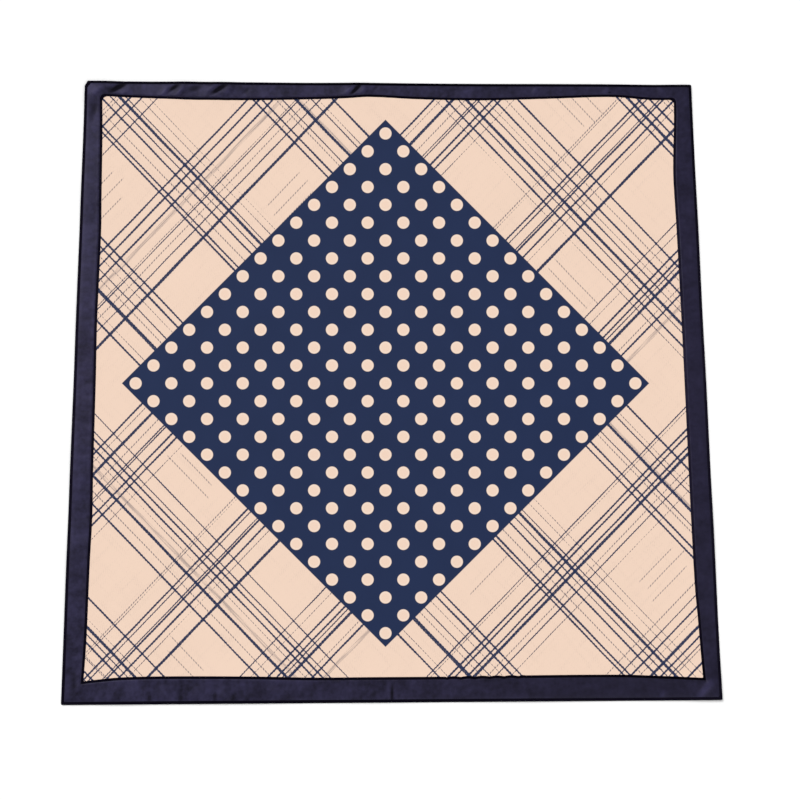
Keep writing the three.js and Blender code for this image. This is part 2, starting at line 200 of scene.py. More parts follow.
# Small marks that only a close look shows: dimples along the hem and thin wrinkles.
FINE_MARKS = [
    ("hem dimple one", -331, -442, 84, 14, 9, -0.5),
    ("hem dimple two", -289, -441, 90, 16, 10, -0.7),
    ("hem dimple three", -243, -441, 96, 18, 10, -0.7),
    ("hem dimple four", -218, -442, 88, 14, 9, -0.6),
    ("hem dimple five", -198, -442, 90, 13, 9, -0.5),
    ("near wrinkle left", -386, -429, 14, 44, 9, 0.35),
    ("near wrinkle middle", 118, -436, -9, 60, 10, 0.3),
    ("near wrinkle right", 262, -431, 6, 54, 10, 0.3),
    ("far wrinkle left", -213, 437, 40, 26, 9, -0.5),
    ("far wrinkle middle", -22, 442, 52, 18, 8, -0.5),
    ("far soft dip", -305, 442, 22, 40, 12, -0.25),
    ("far corner dip", -436, 404, 78, 60, 14, -0.5),
    ("far wrinkle right", 118, 438, 12, 60, 9, 0.35),
    ("far small mark", 404, 441, 122, 22, 9, 0.8),
    ("left wrinkle far", -437, 262, 100, 46, 9, 0.35),
    ("left wrinkle near", -434, -150, 84, 60, 10, 0.35),
    ("right wrinkle far", 436, 190, 86, 52, 9, 0.35),
    ("right wrinkle near", 437, -96, 94, 58, 10, 0.3),
    ("near left corner dip", -434, -424, 88, 54, 14, -0.6),
    ("near left dip", -206, -438, 118, 30, 12, -0.5),
    ("near middle dip", -112, -437, 60, 34, 14, -0.4),
    ("near dip by the join", -32, -439, 12, 40, 13, -0.5),
    ("join furrow", -3, -438, 89, 36, 8, -1.1),
]
RIPPLE_REACH = 62
SHARP_WIDTH = 14
PUCKER = {"pitch": 21, "drift": 57, "height": 0.15, "inset": 30, "reach": 24}


def bump(distance):
    """1 in the middle of a ridge, falling smoothly to 0 at a distance of 1."""
    return np.clip(1 - distance**2, 0, None) ** 2


def fold_height(folds, x, y):
    """The height that all these ridges, troughs or swells add at points of the cloth."""
    total = np.zeros_like(x)
    for _name, fold_x, fold_y, heading, length, width, height in folds:
        cos, sin = math.cos(math.radians(heading)), math.sin(math.radians(heading))
        lengthwise = (x - fold_x) * cos + (y - fold_y) * sin
        crosswise = (y - fold_y) * cos - (x - fold_x) * sin
        total += height * bump(2 * lengthwise / length) * bump(2 * crosswise / width)
    return total


def sharp_relief(x, y):
    """The part of the height that lies in narrow folds, from which the satin paints highlight and shade."""
    return fold_height([fold for fold in CREASES + FINE_MARKS if fold[5] <= SHARP_WIDTH], x, y)


def ripple_height(x, y):
    """The ripples of the outer edges, fading inwards."""
    total = np.zeros_like(x)
    for side in SIDES:
        along = x if side["run"][0] else y
        distance = HALF + x * side["inward"][0] + y * side["inward"][1]
        edge_lift = np.maximum(0, value_at(side["rows"], "lift", along))
        total += edge_lift * bump(np.clip(distance / RIPPLE_REACH, -1, 1))
    return total


def pucker_height(x, y):
    """The small puckers that the seam's thread draws up on both sides of it."""
    total = np.zeros_like(x)
    for along, distance in ((y, HALF - np.abs(x)), (x, HALF - np.abs(y))):
        wave = np.sin(2 * math.pi * along / PUCKER["pitch"] + 2 * np.sin(along / PUCKER["drift"]))
        from_seam = np.clip((distance - PUCKER["inset"]) / PUCKER["reach"], -1, 1)
        total += PUCKER["height"] * wave * bump(from_seam)
    return total


def lift_at(x, y):
    """How far the cloth's underside is clear of the table."""
    folds = fold_height(CREASES + SWELLS + FINE_MARKS, x, y)
    return np.maximum(0, folds + ripple_height(x, y) + pucker_height(x, y))


print(f"{len(CREASES)} creases, {len(SWELLS)} swells and {len(FINE_MARKS)} fine marks")

# %% [markdown]
# ## The seam
# The seam is where the silk ends and the band begins. It runs round the scarf at the band's
# width from the outer edge and turns four small round corners, and in one stretch of the near
# side the satin scallops a little between the stitches. Both pieces read their edge from it,
# so they always meet.

# %% The seam's path
SCALLOPS = {"from": 72, "to": 180, "pitch": 19.7, "depth": 1.3}
CORNER_STOPS = np.array([0, 0.6, 1.2, 2, 3, 4.2, 5.6, 7.4, 9.6, 12.4, 16])


def corner_places(distance, reach, other_reach, flatness):
    """How far along its side, and how far inward, points near a corner lie."""
    angle = (1 - np.minimum(distance / reach, 1)) * math.pi / 4
    inside = distance < reach
    along = np.where(inside, reach * (1 - np.sin(angle) ** flatness), distance)
    inward = np.where(inside, other_reach * (1 - np.cos(angle) ** flatness), 0)
    return along, inward


def side_points(side, start, length, distance, inward, first, last):
    """Points of a side at distances along it and inward of it, with both its corners shaped."""
    from_start, start_inward = corner_places(distance, first["along"], first["before"], first["flatness"])
    from_end, end_inward = corner_places(length - distance, last["before"], last["along"], last["flatness"])
    along = np.where(distance < length / 2, from_start, length - from_end)
    depth = inward + start_inward + end_inward
    run, inwards = side["run"], side["inward"]
    return np.stack([start[axis] + run[axis] * along + inwards[axis] * depth for axis in (0, 1)], -1)


def end_widths(side):
    """The band's width at the side's first corner and at its last."""
    widths = side["rows"]["width"][[0, -1]]
    return widths if sum(side["run"]) > 0 else widths[::-1]


def seam_corner(index):
    """The seam's corner at the start of a side, before it is rounded."""
    side, previous = SIDES[index % 4], SIDES[(index + 3) % 4]
    inset, previous_inset = end_widths(side)[0], end_widths(previous)[1]
    return np.array([
        side["start"][axis] * HALF + side["inward"][axis] * inset + previous["inward"][axis] * previous_inset
        for axis in (0, 1)
    ])


def scallop(side, place):
    """The small arcs of the near seam, as extra width of the band."""
    if side["rows"] is not NEAR_ROWS:
        return np.zeros_like(place)
    inside = (place > SCALLOPS["from"]) & (place < SCALLOPS["to"])
    arcs = np.abs(np.sin((place - SCALLOPS["from"]) / SCALLOPS["pitch"] * math.pi))
    return np.where(inside, SCALLOPS["depth"] * (arcs - 0.6), 0)


def seam_at(index, distance):
    """The seam's points at distances from the start of a side."""
    side = SIDES[index]
    start, end = seam_corner(index), seam_corner(index + 1)
    length = seam_length(index)
    axis = 0 if side["run"][0] else 1
    place = start[axis] + sum(side["run"]) * distance
    extra = value_at(side["rows"], "width", place) - end_widths(side)[0] + scallop(side, place)
    return side_points(side, start, length, distance, extra, side["seam"], SIDES[(index + 1) % 4]["seam"])


def seam_length(index):
    """The straight length of a side of the seam, from corner to corner."""
    return float(abs((seam_corner(index + 1) - seam_corner(index)) @ np.array(SIDES[index]["run"])))


def shares_along(length, step):
    """Shares of a length from 0 to 1, a step apart and closer together at both ends."""
    reach = CORNER_STOPS[-1]
    count = round((length - 2 * reach) / step)
    middle = reach + (length - 2 * reach) * np.arange(1, count) / count
    return np.concatenate([CORNER_STOPS, middle, (length - CORNER_STOPS)[::-1]]) / length


print("seam sides:", [round(seam_length(index)) for index in range(4)], "mm")

# %% [markdown]
# ## The silk panel
# The panel is one thin sheet that hangs, in effect, between four curved edges. A Coons patch is
# made for this: it blends opposite edges into each other, so rows and columns run evenly from
# seam to seam. The sheet gets its height from the creases and swells, and Solidify turns the
# surface into cloth with two sides and a rim.

# %% Build the panel
PANEL_STEP = 5
PANEL_FACE = 0.9
PANEL_THICKNESS = 0.35
SEAM_TUCK = 0.6


def mesh_object(name, points, faces):
    """A smooth mesh object from points in millimetres."""
    mesh = bpy.data.meshes.new(name)
    mesh.from_pydata((points * MM).tolist(), [], faces.tolist())
    mesh.polygons.foreach_set("use_smooth", np.ones(len(faces), bool))
    mesh.update()
    item = bpy.data.objects.new(name, mesh)
    bpy.context.scene.collection.objects.link(item)
    return item


def grid_faces(lines, columns):
    """The faces between the points of a grid, counter-clockwise from above."""
    at = np.arange(lines * columns).reshape(lines, columns)
    return np.stack([at[:-1, :-1], at[:-1, 1:], at[1:, 1:], at[1:, :-1]], -1).reshape(-1, 4)


def panel_places():
    """The panel's points seen from above, as a Coons patch between the four seams."""
    u, v = shares_along(seam_length(0), PANEL_STEP), shares_along(seam_length(1), PANEL_STEP)
    near, right = seam_at(0, u * seam_length(0)), seam_at(1, v * seam_length(1))
    far, left = seam_at(2, (1 - u) * seam_length(2)), seam_at(3, (1 - v) * seam_length(3))
    u, v = u[None, :, None], v[:, None, None]
    between_sides = (1 - v) * near[None] + v * far[None] + (1 - u) * left[:, None] + u * right[:, None]
    corners = (1 - u) * (1 - v) * near[0] + u * (1 - v) * near[-1] + u * v * far[-1] + (1 - u) * v * far[0]
    return (between_sides - corners) * (1 + SEAM_TUCK / (HALF - NEAR_ROWS["width"].mean()))


places = panel_places()
panel_x, panel_y = places[..., 0], places[..., 1]
panel_z = PANEL_FACE + lift_at(panel_x, panel_y)
panel_points = np.stack([panel_x, panel_y, panel_z], -1).reshape(-1, 3)
panel = mesh_object("silk_panel", panel_points, grid_faces(*panel_x.shape))
solidify = panel.modifiers.new("cloth", "SOLIDIFY")
solidify.thickness = PANEL_THICKNESS * MM
solidify.offset = -1
print(f"panel of {panel_x.shape[0]} x {panel_x.shape[1]} points")

# %% [markdown]
# ## Where the print lies
# The print is set square to the line of sight, with its pattern upright in the picture, so its
# places come from a plane across that line. We work them out once for each point of the panel
# and keep them in a UV map in metres. From then on the print belongs to the cloth and stays on
# it from every side. The same few numbers later place the camera.

# %% Set the line of sight and lay the print on the panel
CAMERA_PLACE = Vector((-0.0516, -0.4279, 1.9717))
CAMERA_TILT, CAMERA_LEAN, CAMERA_ROLL = 0.199195, -0.031237, -0.000946
PICTURE_PIXELS = 800
FOCAL_PIXELS = 1417.4
PRINT_MIDDLE_PIXEL = (385.5, 383.3)
PRINT_MM_PER_PIXEL = 1.4224

camera_turn = (
    Matrix.Rotation(CAMERA_TILT, 3, "X")
    @ Matrix.Rotation(CAMERA_LEAN, 3, "Y")
    @ Matrix.Rotation(CAMERA_ROLL, 3, "Z")
)


def print_places(points):
    """Places on the print, in metres, of points of the cloth in millimetres."""
    seen = (points * MM - np.array(CAMERA_PLACE)) @ np.array(camera_turn)
    across = PICTURE_PIXELS / 2 + FOCAL_PIXELS * seen[:, 0] / -seen[:, 2]
    down = PICTURE_PIXELS / 2 - FOCAL_PIXELS * seen[:, 1] / -seen[:, 2]
    scale = PRINT_MM_PER_PIXEL * MM
    return np.stack([(across - PRINT_MIDDLE_PIXEL[0]) * scale, (PRINT_MIDDLE_PIXEL[1] - down) * scale], -1)


def add_uv(item, name, places):
    """A UV map with a place for each corner of each face, in the order of the faces."""
    layer = item.data.uv_layers.new(name=name)
    layer.uv.foreach_set("vector", places.astype(np.float32).ravel())


add_uv(panel, "print", print_places(panel_points)[grid_faces(*panel_x.shape)])
print("print spans", np.ptp(print_places(panel_points), axis=0).round(3), "m")

# %% [markdown]
# ## The satin band
# The band is a strip of satin whose outer edge is rolled into a narrow hem and whose inner edge
# is turned and stitched down over the silk. That is one section, carried round the scarf: we list
# its points from the outer edge to the seam and back underneath, and place them at every station.
# A curve with a bevel would do this on a plain ring, but it couldn't widen and narrow, fan out at
# the corners and follow the creases.

# %% Build the band
BAND_STEP = 2.2
CORNER_FAN_REACH = 80
BACK_SLACK = 0.15
JOIN_X = -2
# Name, distance from the outer edge, share of the width, height over the lifted cloth. A height of
# None lies on the underside.
BAND_SECTION = [
    ("outer edge foot", 0.7, 0, None),
    ("outer edge low", 0.15, 0, 0.35),
    ("outer edge", 0, 0, 0.8),
    ("outer edge high", 0.2, 0, 1.3),
    ("hem rising", 0.7, 0, 1.75),
    ("hem crown", 1.5, 0, 1.95),
    ("hem falling", 2.6, 0, 1.75),
    ("hem foot", 3.5, 0, 1.25),
    ("hem stitch line", 4.2, 0, 0.95),
    ("beside hem", 5.0, 0, 1.25),
    ("face beside hem", 6.6, 0, 1.5),
    ("face at a quarter", 4.4, 0.17, 1.5),
    ("face at a third", 2.6, 0.35, 1.5),
    ("face at the middle", 0, 0.56, 1.5),
    ("face past the middle", -1.2, 0.73, 1.5),
    ("face beside seam", -6.6, 1, 1.5),
    ("seam rising", -5.3, 1, 1.6),
    ("seam crown", -4.4, 1, 1.5),
    ("seam stitch line", -3.5, 1, 1.12),
    ("seam lip", -1.9, 1, 1.4),
    ("seam lip falling", -0.4, 1, 1.35),
    ("seam lip edge", 0.2, 1, 1.1),
    ("seam lip under", 0.0, 1, 0.97),
    ("seam lip back", -0.9, 1, 0.94),
    ("seam turn foot", -1.5, 1, None),
    ("underside middle", 2.0, 0.45, None),
]
SECTION_NAMES = [row[0] for row in BAND_SECTION]
HEM_STITCH_ROW = SECTION_NAMES.index("hem stitch line")
SEAM_STITCH_ROW = SECTION_NAMES.index("seam stitch line")


def band_stations():
    """For every station round the band: its outer point, its seam point, and its width."""
    outer, seam, width = [], [], []
    for index, side in enumerate(SIDES):
        length = seam_length(index)
        distance = shares_along(length, BAND_STEP)[:-1] * length
        start_inset, end_inset = end_widths(SIDES[(index + 3) % 4])[1], end_widths(SIDES[(index + 1) % 4])[0]
        fan_in = np.clip(1 - distance / CORNER_FAN_REACH, 0, None) ** 2
        fan_out = np.clip(1 - (length - distance) / CORNER_FAN_REACH, 0, None) ** 2
        outer_distance = distance + start_inset * (1 - fan_in) + end_inset * fan_out
        start = np.array(side["start"]) * HALF
        next_corner = SIDES[(index + 1) % 4]["corner"]
        outer.append(side_points(side, start, SIDE, outer_distance, 0, side["corner"], next_corner))
        seam.append(seam_at(index, distance))
        width.append(np.abs((seam[-1] - outer[-1]) @ np.array(side["inward"])))
    return np.concatenate(outer), np.concatenate(seam), np.concatenate(width)


outer, seam, width = band_stations()
at_join = np.argmin(np.hypot(outer[:, 0] - JOIN_X, outer[:, 1] + HALF))
outer, seam, width = (np.roll(values, -at_join, axis=0) for values in (outer, seam, width))
stations, ring_size = len(width), len(BAND_SECTION)
rings = np.zeros((stations, ring_size, 3))
strip = np.zeros((stations + 1, ring_size, 2))
travelled = np.concatenate([[0], np.cumsum(np.linalg.norm(np.diff(outer, axis=0, append=outer[:1]), axis=1))])
for place, (_name, offset, share, height) in enumerate(BAND_SECTION):
    inset = offset + share * width
    flat = outer + (seam - outer) * (inset / width)[:, None]
    raised = lift_at(flat[:, 0], flat[:, 1])
    rings[:, place, :2] = flat
    rings[:, place, 2] = np.maximum(0, raised - BACK_SLACK) if height is None else raised + height
    strip[:, place] = np.stack([travelled * MM, np.append(inset / width, inset[0] / width[0])], -1)


def ring_faces(lines, columns):
    """The faces between rings of points, where each ring closes on itself."""
    at = np.arange(lines * columns).reshape(lines, columns)
    across = np.roll(at, -1, axis=1)
    return np.stack([at[:-1], at[1:], across[1:], across[:-1]], -1).reshape(-1, 4)


# The strip of satin ends where it began: its last ring is its first one, but farther along.
strip_faces = ring_faces(stations + 1, ring_size)
band_points = rings.reshape(-1, 3)
band = mesh_object("satin_band", band_points, strip_faces % len(band_points))
add_uv(band, "strip", strip.reshape(-1, 2)[strip_faces])
# The narrow folds' relief, kept for the satin's painted highlight on ridges and painted shade in troughs.
creased = band.data.attributes.new("creased", "FLOAT", "POINT")
creased.data.foreach_set("value", sharp_relief(band_points[:, 0], band_points[:, 1]).astype(np.float32))
print(f"band of {stations} stations, {travelled[-1] / 1000:.2f} m round")

# %% [markdown]
# ## Shader sums
# A printed pattern is mostly arithmetic on places: how far from a line, inside which dot. One
# small class lets us write that as ordinary Python. It wraps a socket, and each operator adds
# the Math node that does the sum.

# %% A class for sums in a material
class Amount:
    """A socket of a material that can be used in sums."""

    def __init__(self, finish, socket):
        self.finish, self.socket = finish, socket

    def math(self, operation, *others):
        return self.finish.node("ShaderNodeMath", {"operation": operation}, dict(enumerate([self, *others])))

    def __add__(self, other):
        return self.math("ADD", other)

    def __sub__(self, other):
        return self.math("SUBTRACT", other)

    def __rsub__(self, other):
        return (self * -1).math("ADD", other)

    def __mul__(self, other):
        return self.math("MULTIPLY", other)

    def __truediv__(self, other):
        return self.math("DIVIDE", other)

    def __gt__(self, other):
        return self.math("GREATER_THAN", other)

    def __abs__(self):
        return self.math("ABSOLUTE")

    __radd__, __rmul__ = __add__, __mul__

    def clamped(self):
        """The amount kept from 0 to 1."""
        return self.finish.node("ShaderNodeClamp", {}, {"Value": self})

    def inside(self, softness):
        """1 where the amount is positive and 0 where it is negative, with a soft edge."""
        return (self / softness + 0.5).clamped()


class Finish:
    """A material and the nodes that are added to it."""

    def __init__(self, name):
        self.material = bpy.data.materials.new(name)
        self.material.use_nodes = True
        self.tree = self.material.node_tree
        self.tree.nodes.clear()

    def node(self, kind, settings, sockets, output=0):
        """Adds a node: its settings first, then a value or a link for each named socket."""
        node = self.tree.nodes.new(kind)
        for name, value in settings.items():
            if name == "stops":
                self.set_stops(node.color_ramp, value)
            else:
                setattr(node, name, value)
        for name, value in sockets.items():
            if isinstance(value, Amount):
                self.tree.links.new(value.socket, node.inputs[name])
            else:
                node.inputs[name].default_value = value
        return Amount(self, node.outputs[output]) if node.outputs else None

    def set_stops(self, ramp, stops):
        """Fills a ramp with (place, colour) stops."""
        while len(ramp.elements) < len(stops):
            ramp.elements.new(0.5)
        for element, (place, colour) in zip(ramp.elements, stops):
            element.position = place
        for element, (place, colour) in zip(ramp.elements, stops):
            element.color = (*colour, 1)[:4]

    def noise(self, vector, detail=1, roughness=0.5):
        """Smooth noise from 0 to 1 at a place."""
        return self.node(
            "ShaderNodeTexNoise", {}, {"Vector": vector, "Scale": 1, "Detail": detail, "Roughness": roughness}
        )

    def scaled(self, vector, scale):
        """A vector made a number of times as long."""
        return self.node("ShaderNodeVectorMath", {"operation": "SCALE"}, {0: vector, "Scale": scale})

    def place(self, x, y, z):
        """A vector from three amounts."""
        return self.node("ShaderNodeCombineXYZ", {}, {"X": x, "Y": y, "Z": z})

    def parts(self, vector):
        """The three amounts of a vector or a colour."""
        split = self.node("ShaderNodeSeparateXYZ", {}, {0: vector}).socket.node
        return [Amount(self, split.outputs[axis]) for axis in range(3)]

    def mix(self, share, first, second):
        """One colour over another by a share."""
        settings = {"data_type": "RGBA", "blend_type": "MIX"}
        return self.node("ShaderNodeMix", settings, {"Factor": share, 6: first, 7: second}, output=2)

    def surface(self, colour, roughness, normal, **fixed):
        """Ends the material in a Principled shader with some fixed numbers of its own."""
        sockets = {"Base Color": colour, "Roughness": roughness, "Normal": normal}
        sockets.update({name.replace("_", " "): value for name, value in fixed.items()})
        shader = self.node("ShaderNodeBsdfPrincipled", {}, sockets)
        self.node("ShaderNodeOutputMaterial", {}, {"Surface": shader})
        return self.material


def dyed(red, green, blue):
    """A colour from the usual 0 to 255 numbers, as light."""
    parts = (value / 255 for value in (red, green, blue))
    return tuple(part / 12.92 if part <= 0.04045 else ((part + 0.055) / 1.055) ** 2.4 for part in parts)


print("a mid grey as light:", round(dyed(128, 128, 128)[0], 3))

# %% [markdown]
# ## The check in the print
# The print is a bias check of loose brushed lines: bands of lines run both ways across the silk,
# one pitch apart. We write one band down and deal its lines out again, in another order
# and a little moved, for every band. So the check has the colours, the scale and the loose hand of
# the real one, in a layout of its own. One colour ramp holds a whole band: a line is a little tent
# in the ramp, higher for a wider line, and the material inks whatever stands above a level. When
# that level wavers, every line thickens, thins and breaks by itself, as brushed ink does.

# %% Chart the check
LINE_WIDTHS = {"thick": 3.9, "firm": 2.6, "fine": 1.6, "faint": 0.6, "dashed": 1.5, "smear": 5.0}
LINE_CHANNELS = {"thick": 0, "firm": 0, "fine": 0, "faint": 0, "dashed": 1, "smear": 2}
INK_LEVEL = 0.2
TENT_SLOPE_MM = 4.0
LEAST_BEND = 0.004
BAND_PITCH = 187
BANDS_EACH_WAY = 3
# The kinds of line in one band, and the places in mm from its middle that they are dealt to. The
# last kind is a smear of ink in the smeared bands, and one more faint line in the others.
BAND_KINDS = ["thick", "firm", "firm", "firm", "fine", "fine", "faint", "dashed"]
SMEARED_BANDS = (-2, 1)
BAND_PLACES = np.array([-44, -35, -21, -12, -1, 7, 18, 27, 42])
LINE_DRIFT = 4


def dealt_bands(seed):
    """The bands of one direction, each with the same kinds of line in another order."""
    chance = np.random.default_rng(seed)
    bands = []
    for number in range(-BANDS_EACH_WAY, BANDS_EACH_WAY + 1):
        last_kind = "smear" if number in SMEARED_BANDS else "faint"
        kinds = chance.permutation([*BAND_KINDS, last_kind])
        places = number * BAND_PITCH + BAND_PLACES + chance.uniform(-LINE_DRIFT, LINE_DRIFT, len(kinds))
        bands.append([(float(place), str(kind)) for place, kind in zip(places, kinds)])
    return bands


def band_lines(band):
    """The lines of a band: where each lies, its height in the ramp, and its channel."""
    return sorted(
        (place, INK_LEVEL + LINE_WIDTHS[kind] / (2 * TENT_SLOPE_MM), LINE_CHANNELS[kind])
        for place, kind in band
    )


def tent_height(lines, channel, place):
    """The height of the tallest tent of one channel at a place."""
    heights = [height - abs(place - line) / TENT_SLOPE_MM for line, height, kind in lines if kind == channel]
    return max([0, *heights])


def bends_at(before, stop, after):
    """True where a ramp's stop is off the straight run between its neighbours."""
    share = (stop[0] - before[0]) / (after[0] - before[0])
    straight = [start + (end - start) * share for start, end in zip(before[1], after[1])]
    return max(abs(value - level) for value, level in zip(straight, stop[1])) > LEAST_BEND


def band_ramp(band):
    """The span that a band's ramp covers, and its stops."""
    lines = band_lines(band)
    bends = set()
    for channel in range(3):
        tents = [(line, height) for line, height, kind in lines if kind == channel]
        for line, height in tents:
            bends |= {line - height * TENT_SLOPE_MM, line, line + height * TENT_SLOPE_MM}
        for (line, height), (after, after_height) in zip(tents, tents[1:]):
            bends.add((line + after) / 2 + TENT_SLOPE_MM * (height - after_height) / 2)
    margin = 2 * TENT_SLOPE_MM
    start, end = lines[0][0] - margin, lines[-1][0] + margin
    stops = [
        ((place - start) / (end - start), [tent_height(lines, channel, place) for channel in range(3)])
        for place in sorted(bends)
    ]
    kept = stops[:1]
    for stop, after in zip(stops[1:], stops[2:]):
        if bends_at(kept[-1], stop, after):
            kept.append(stop)
    return start, end, kept + stops[-1:]


rising_bands, falling_bands = dealt_bands(4), dealt_bands(9)
for bands in (rising_bands, falling_bands):
    print(len(bands), "bands, most stops in a ramp:", max(len(band_ramp(band)[2]) for band in bands))

# %% [markdown]
# ## Printed silk
# The light ground, the ink of the check, and over them the dark diamond with its dots. The
# diamond and the dots need no chart: their edges are distances. The lines get their life from
# noise that is stretched along them, one for the pressure of the brush and one for its grain, and
# ink pools a little where two lines cross. On top lie the silk's own weave, as a very fine bump,
# and a faint unevenness in its shade.

# %% Make the printed silk
GROUND = dyed(235, 207, 187)
INK = dyed(30, 43, 76)
DOT_RIM = dyed(239, 218, 201)
DOTS_PER_SIDE = 15
DOT_PITCH = 35.9
DOT_RADIUS = 8.6
DIAMOND_HALF = 375 / math.sqrt(2)
BAND_SLANT = 0.02
POOL_LEVEL = 0.1
# The brush: the size of each unevenness across and along a line, in mm, and how much it does.
WOBBLE = {"across": 26, "along": 60, "strength": 1.1}
PRESS = {"across": 7, "along": 75, "strength": 0.3}
GRAIN = {"across": 0.9, "along": 3.6, "strength": 0.2}
HAIRS = {"across": 0.8, "along": 40, "strength": 0.5}
BEAD_LENGTH, BEAD_SLANT, BEAD_STRENGTH = 4.8, 0.31, 0.06
# Loose strokes: lanes of one width, and how far chance shifts, trims and places the stroke in each.
STRAY_LANE = 16
STRAY_REACH = 24
STRAY_LENGTH = 92
STRAY_SHIFT, STRAY_TRIM = 44, 16
STRAY_PLACE, STRAY_ROOM = 0.34, 0.3
STRAY_HALF_WIDTH = 0.75
STRAY_EMPTY_LANES = 0.28
SECOND_LOT = 23
# The open squares that hold loose strokes: their middles across and along, in pitches.
RISING_STRAYS = [(1.5, -0.5), (2.5, 0.5), (-1.5, 0.5), (-2.5, -0.5)]
FALLING_STRAYS = [(1.5, 0.5), (2.5, -0.5), (-1.5, -0.5), (-2.5, 0.5)]


def sum_of_ramps(finish, across, bands):
    """All the bands of one direction in one vector: a channel for each kind of ink."""
    total = None
    for band in bands:
        start, end, stops = band_ramp(band)
        place = (across - start) / (end - start)
        ramp = finish.node("ShaderNodeValToRGB", {"stops": stops}, {"Fac": place})
        total = ramp if total is None else finish.node(
            "ShaderNodeVectorMath", {"operation": "ADD"}, {0: total, 1: ramp}
        )
    return finish.parts(total)


def stray_strokes(finish, across, along, squares, seed):
    """Short strokes in the open squares: one in most lanes, which starts and stops by chance."""
    lane = (across / STRAY_LANE).math("FLOOR")
    lot = finish.node("ShaderNodeTexWhiteNoise", {}, {"Vector": finish.place(lane, seed, 0.5)})
    shifted = along + (lot - 0.5) * STRAY_SHIFT
    trim = (lot * SECOND_LOT).math("FRACT") * STRAY_TRIM
    inside = None
    for square_across, square_along in squares:
        in_lanes = STRAY_REACH - abs(across - square_across * BAND_PITCH)
        in_length = STRAY_LENGTH / 2 - abs(shifted - square_along * BAND_PITCH) - trim
        box = in_lanes.math("MINIMUM", in_length)
        inside = box if inside is None else inside.math("MAXIMUM", box)
    off_line = abs((across / STRAY_LANE).math("FRACT") - STRAY_PLACE - lot * STRAY_ROOM) * STRAY_LANE
    stroke = (STRAY_HALF_WIDTH - off_line).inside(0.7)
    return stroke * inside.inside(5) * (lot > STRAY_EMPTY_LANES)


def brush_noise(finish, across, along, size, seed, detail=1):
    """Noise from 0 to 1 that is stretched along a brushed line."""
    return finish.noise(finish.place(across / size["across"], along / size["along"], seed), detail=detail)


def brushed_ink(finish, across, along, bands, strays, seed):
    """The ink that the lines of one direction leave at a place, and the firm lines' tents there."""
    wobble = brush_noise(finish, across, along, WOBBLE, seed)
    across = across + (wobble - 0.5) * WOBBLE["strength"]
    press = brush_noise(finish, across, along, PRESS, seed + 1)
    grain = brush_noise(finish, across, along, GRAIN, seed + 2, detail=2)
    wave = ((along / BEAD_LENGTH + across * BEAD_SLANT) * (2 * math.pi)).math("SINE")
    uneven = (press - 0.5) * PRESS["strength"] + (grain - 0.5) * GRAIN["strength"]
    level = INK_LEVEL + uneven - wave * BEAD_STRENGTH
    firm, dashed, smeared = sum_of_ramps(finish, across, bands)
    dashes = (wave + 0.35).inside(0.7)
    lines = (firm - level).inside(0.1)
    broken = (dashed - level * 0.6 - INK_LEVEL * 0.5).inside(0.1) * dashes
    hairs = brush_noise(finish, across, along, HAIRS, seed + 3)
    blot = (smeared - level).inside(0.3) * (hairs - 0.47).inside(0.2) * HAIRS["strength"]
    loose = stray_strokes(finish, across, along, strays, seed) * dashes * 0.72
    darkness = 1 - (grain - 0.5).clamped() * 0.8
    ink = lines.math("MAXIMUM", broken * 0.85).math("MAXIMUM", blot).math("MAXIMUM", loose) * darkness
    return ink, firm


def between(finish, share, colour, darker, lighter):
    """A colour that goes from a darker to a lighter shade of itself by a share."""
    shades = [(*(amount * part for part in colour), 1) for amount in (darker, lighter)]
    return finish.mix(share, *shades)


def printed_silk():
    """The panel's material."""
    finish = Finish("printed_silk")
    uv = finish.node("ShaderNodeUVMap", {"uv_map": "print"}, {})
    x, y, _ = finish.parts(finish.scaled(uv, 1 / MM))
    down_right, up_right = (x - y) / math.sqrt(2), (x + y) / math.sqrt(2)

    across_rising = down_right + up_right * BAND_SLANT
    across_falling = up_right + down_right * BAND_SLANT
    rising, near_rising = brushed_ink(finish, across_rising, up_right, rising_bands, RISING_STRAYS, 11)
    falling, near_falling = brushed_ink(finish, across_falling, down_right, falling_bands, FALLING_STRAYS, 37)
    pool = (near_rising.math("MINIMUM", near_falling) - POOL_LEVEL).inside(0.08)
    check = rising.math("MAXIMUM", falling).math("MAXIMUM", pool * 0.9)

    diamond = (DIAMOND_HALF - abs(down_right).math("MAXIMUM", abs(up_right))).inside(0.7)
    offset = (DOTS_PER_SIDE % 2) / 2
    dot_x = (down_right / DOT_PITCH + offset).math("FRACT") - 0.5
    dot_y = (up_right / DOT_PITCH + offset).math("FRACT") - 0.5
    from_dot = (dot_x * dot_x + dot_y * dot_y).math("SQRT") * DOT_PITCH
    dot = (DOT_RADIUS - from_dot).inside(0.8)
    rim = (1.2 - abs(from_dot - (DOT_RADIUS - 1.3))).inside(1.2)

    place = finish.node("ShaderNodeTexCoord", {}, {}, output="Object")
    shade = finish.noise(finish.scaled(place, 14), detail=2)
    ground = between(finish, shade, GROUND, 0.985, 1.015)
    ink = between(finish, shade, INK, 0.9, 1.1)
    pale = finish.mix(rim * 0.6, ground, (*DOT_RIM, 1))
    colour = finish.mix(check, ground, ink)
    colour = finish.mix(diamond, colour, finish.mix(dot, ink, pale))

    threads = finish.node("ShaderNodeMapping", {}, {"Vector": place, "Scale": (2600, 1500, 900)})
    weave = finish.noise(threads, detail=1)
    bump_node = finish.node("ShaderNodeBump", {}, {"Height": weave, "Strength": 0.12, "Distance": 0.0002})
    roughness = 0.5 + weave * 0.12
    return finish.surface(colour, roughness, bump_node, Specular_IOR_Level=0.1)


panel.data.materials.append(printed_silk())
print(f"{len(panel.data.materials[0].node_tree.nodes)} nodes in the printed silk")
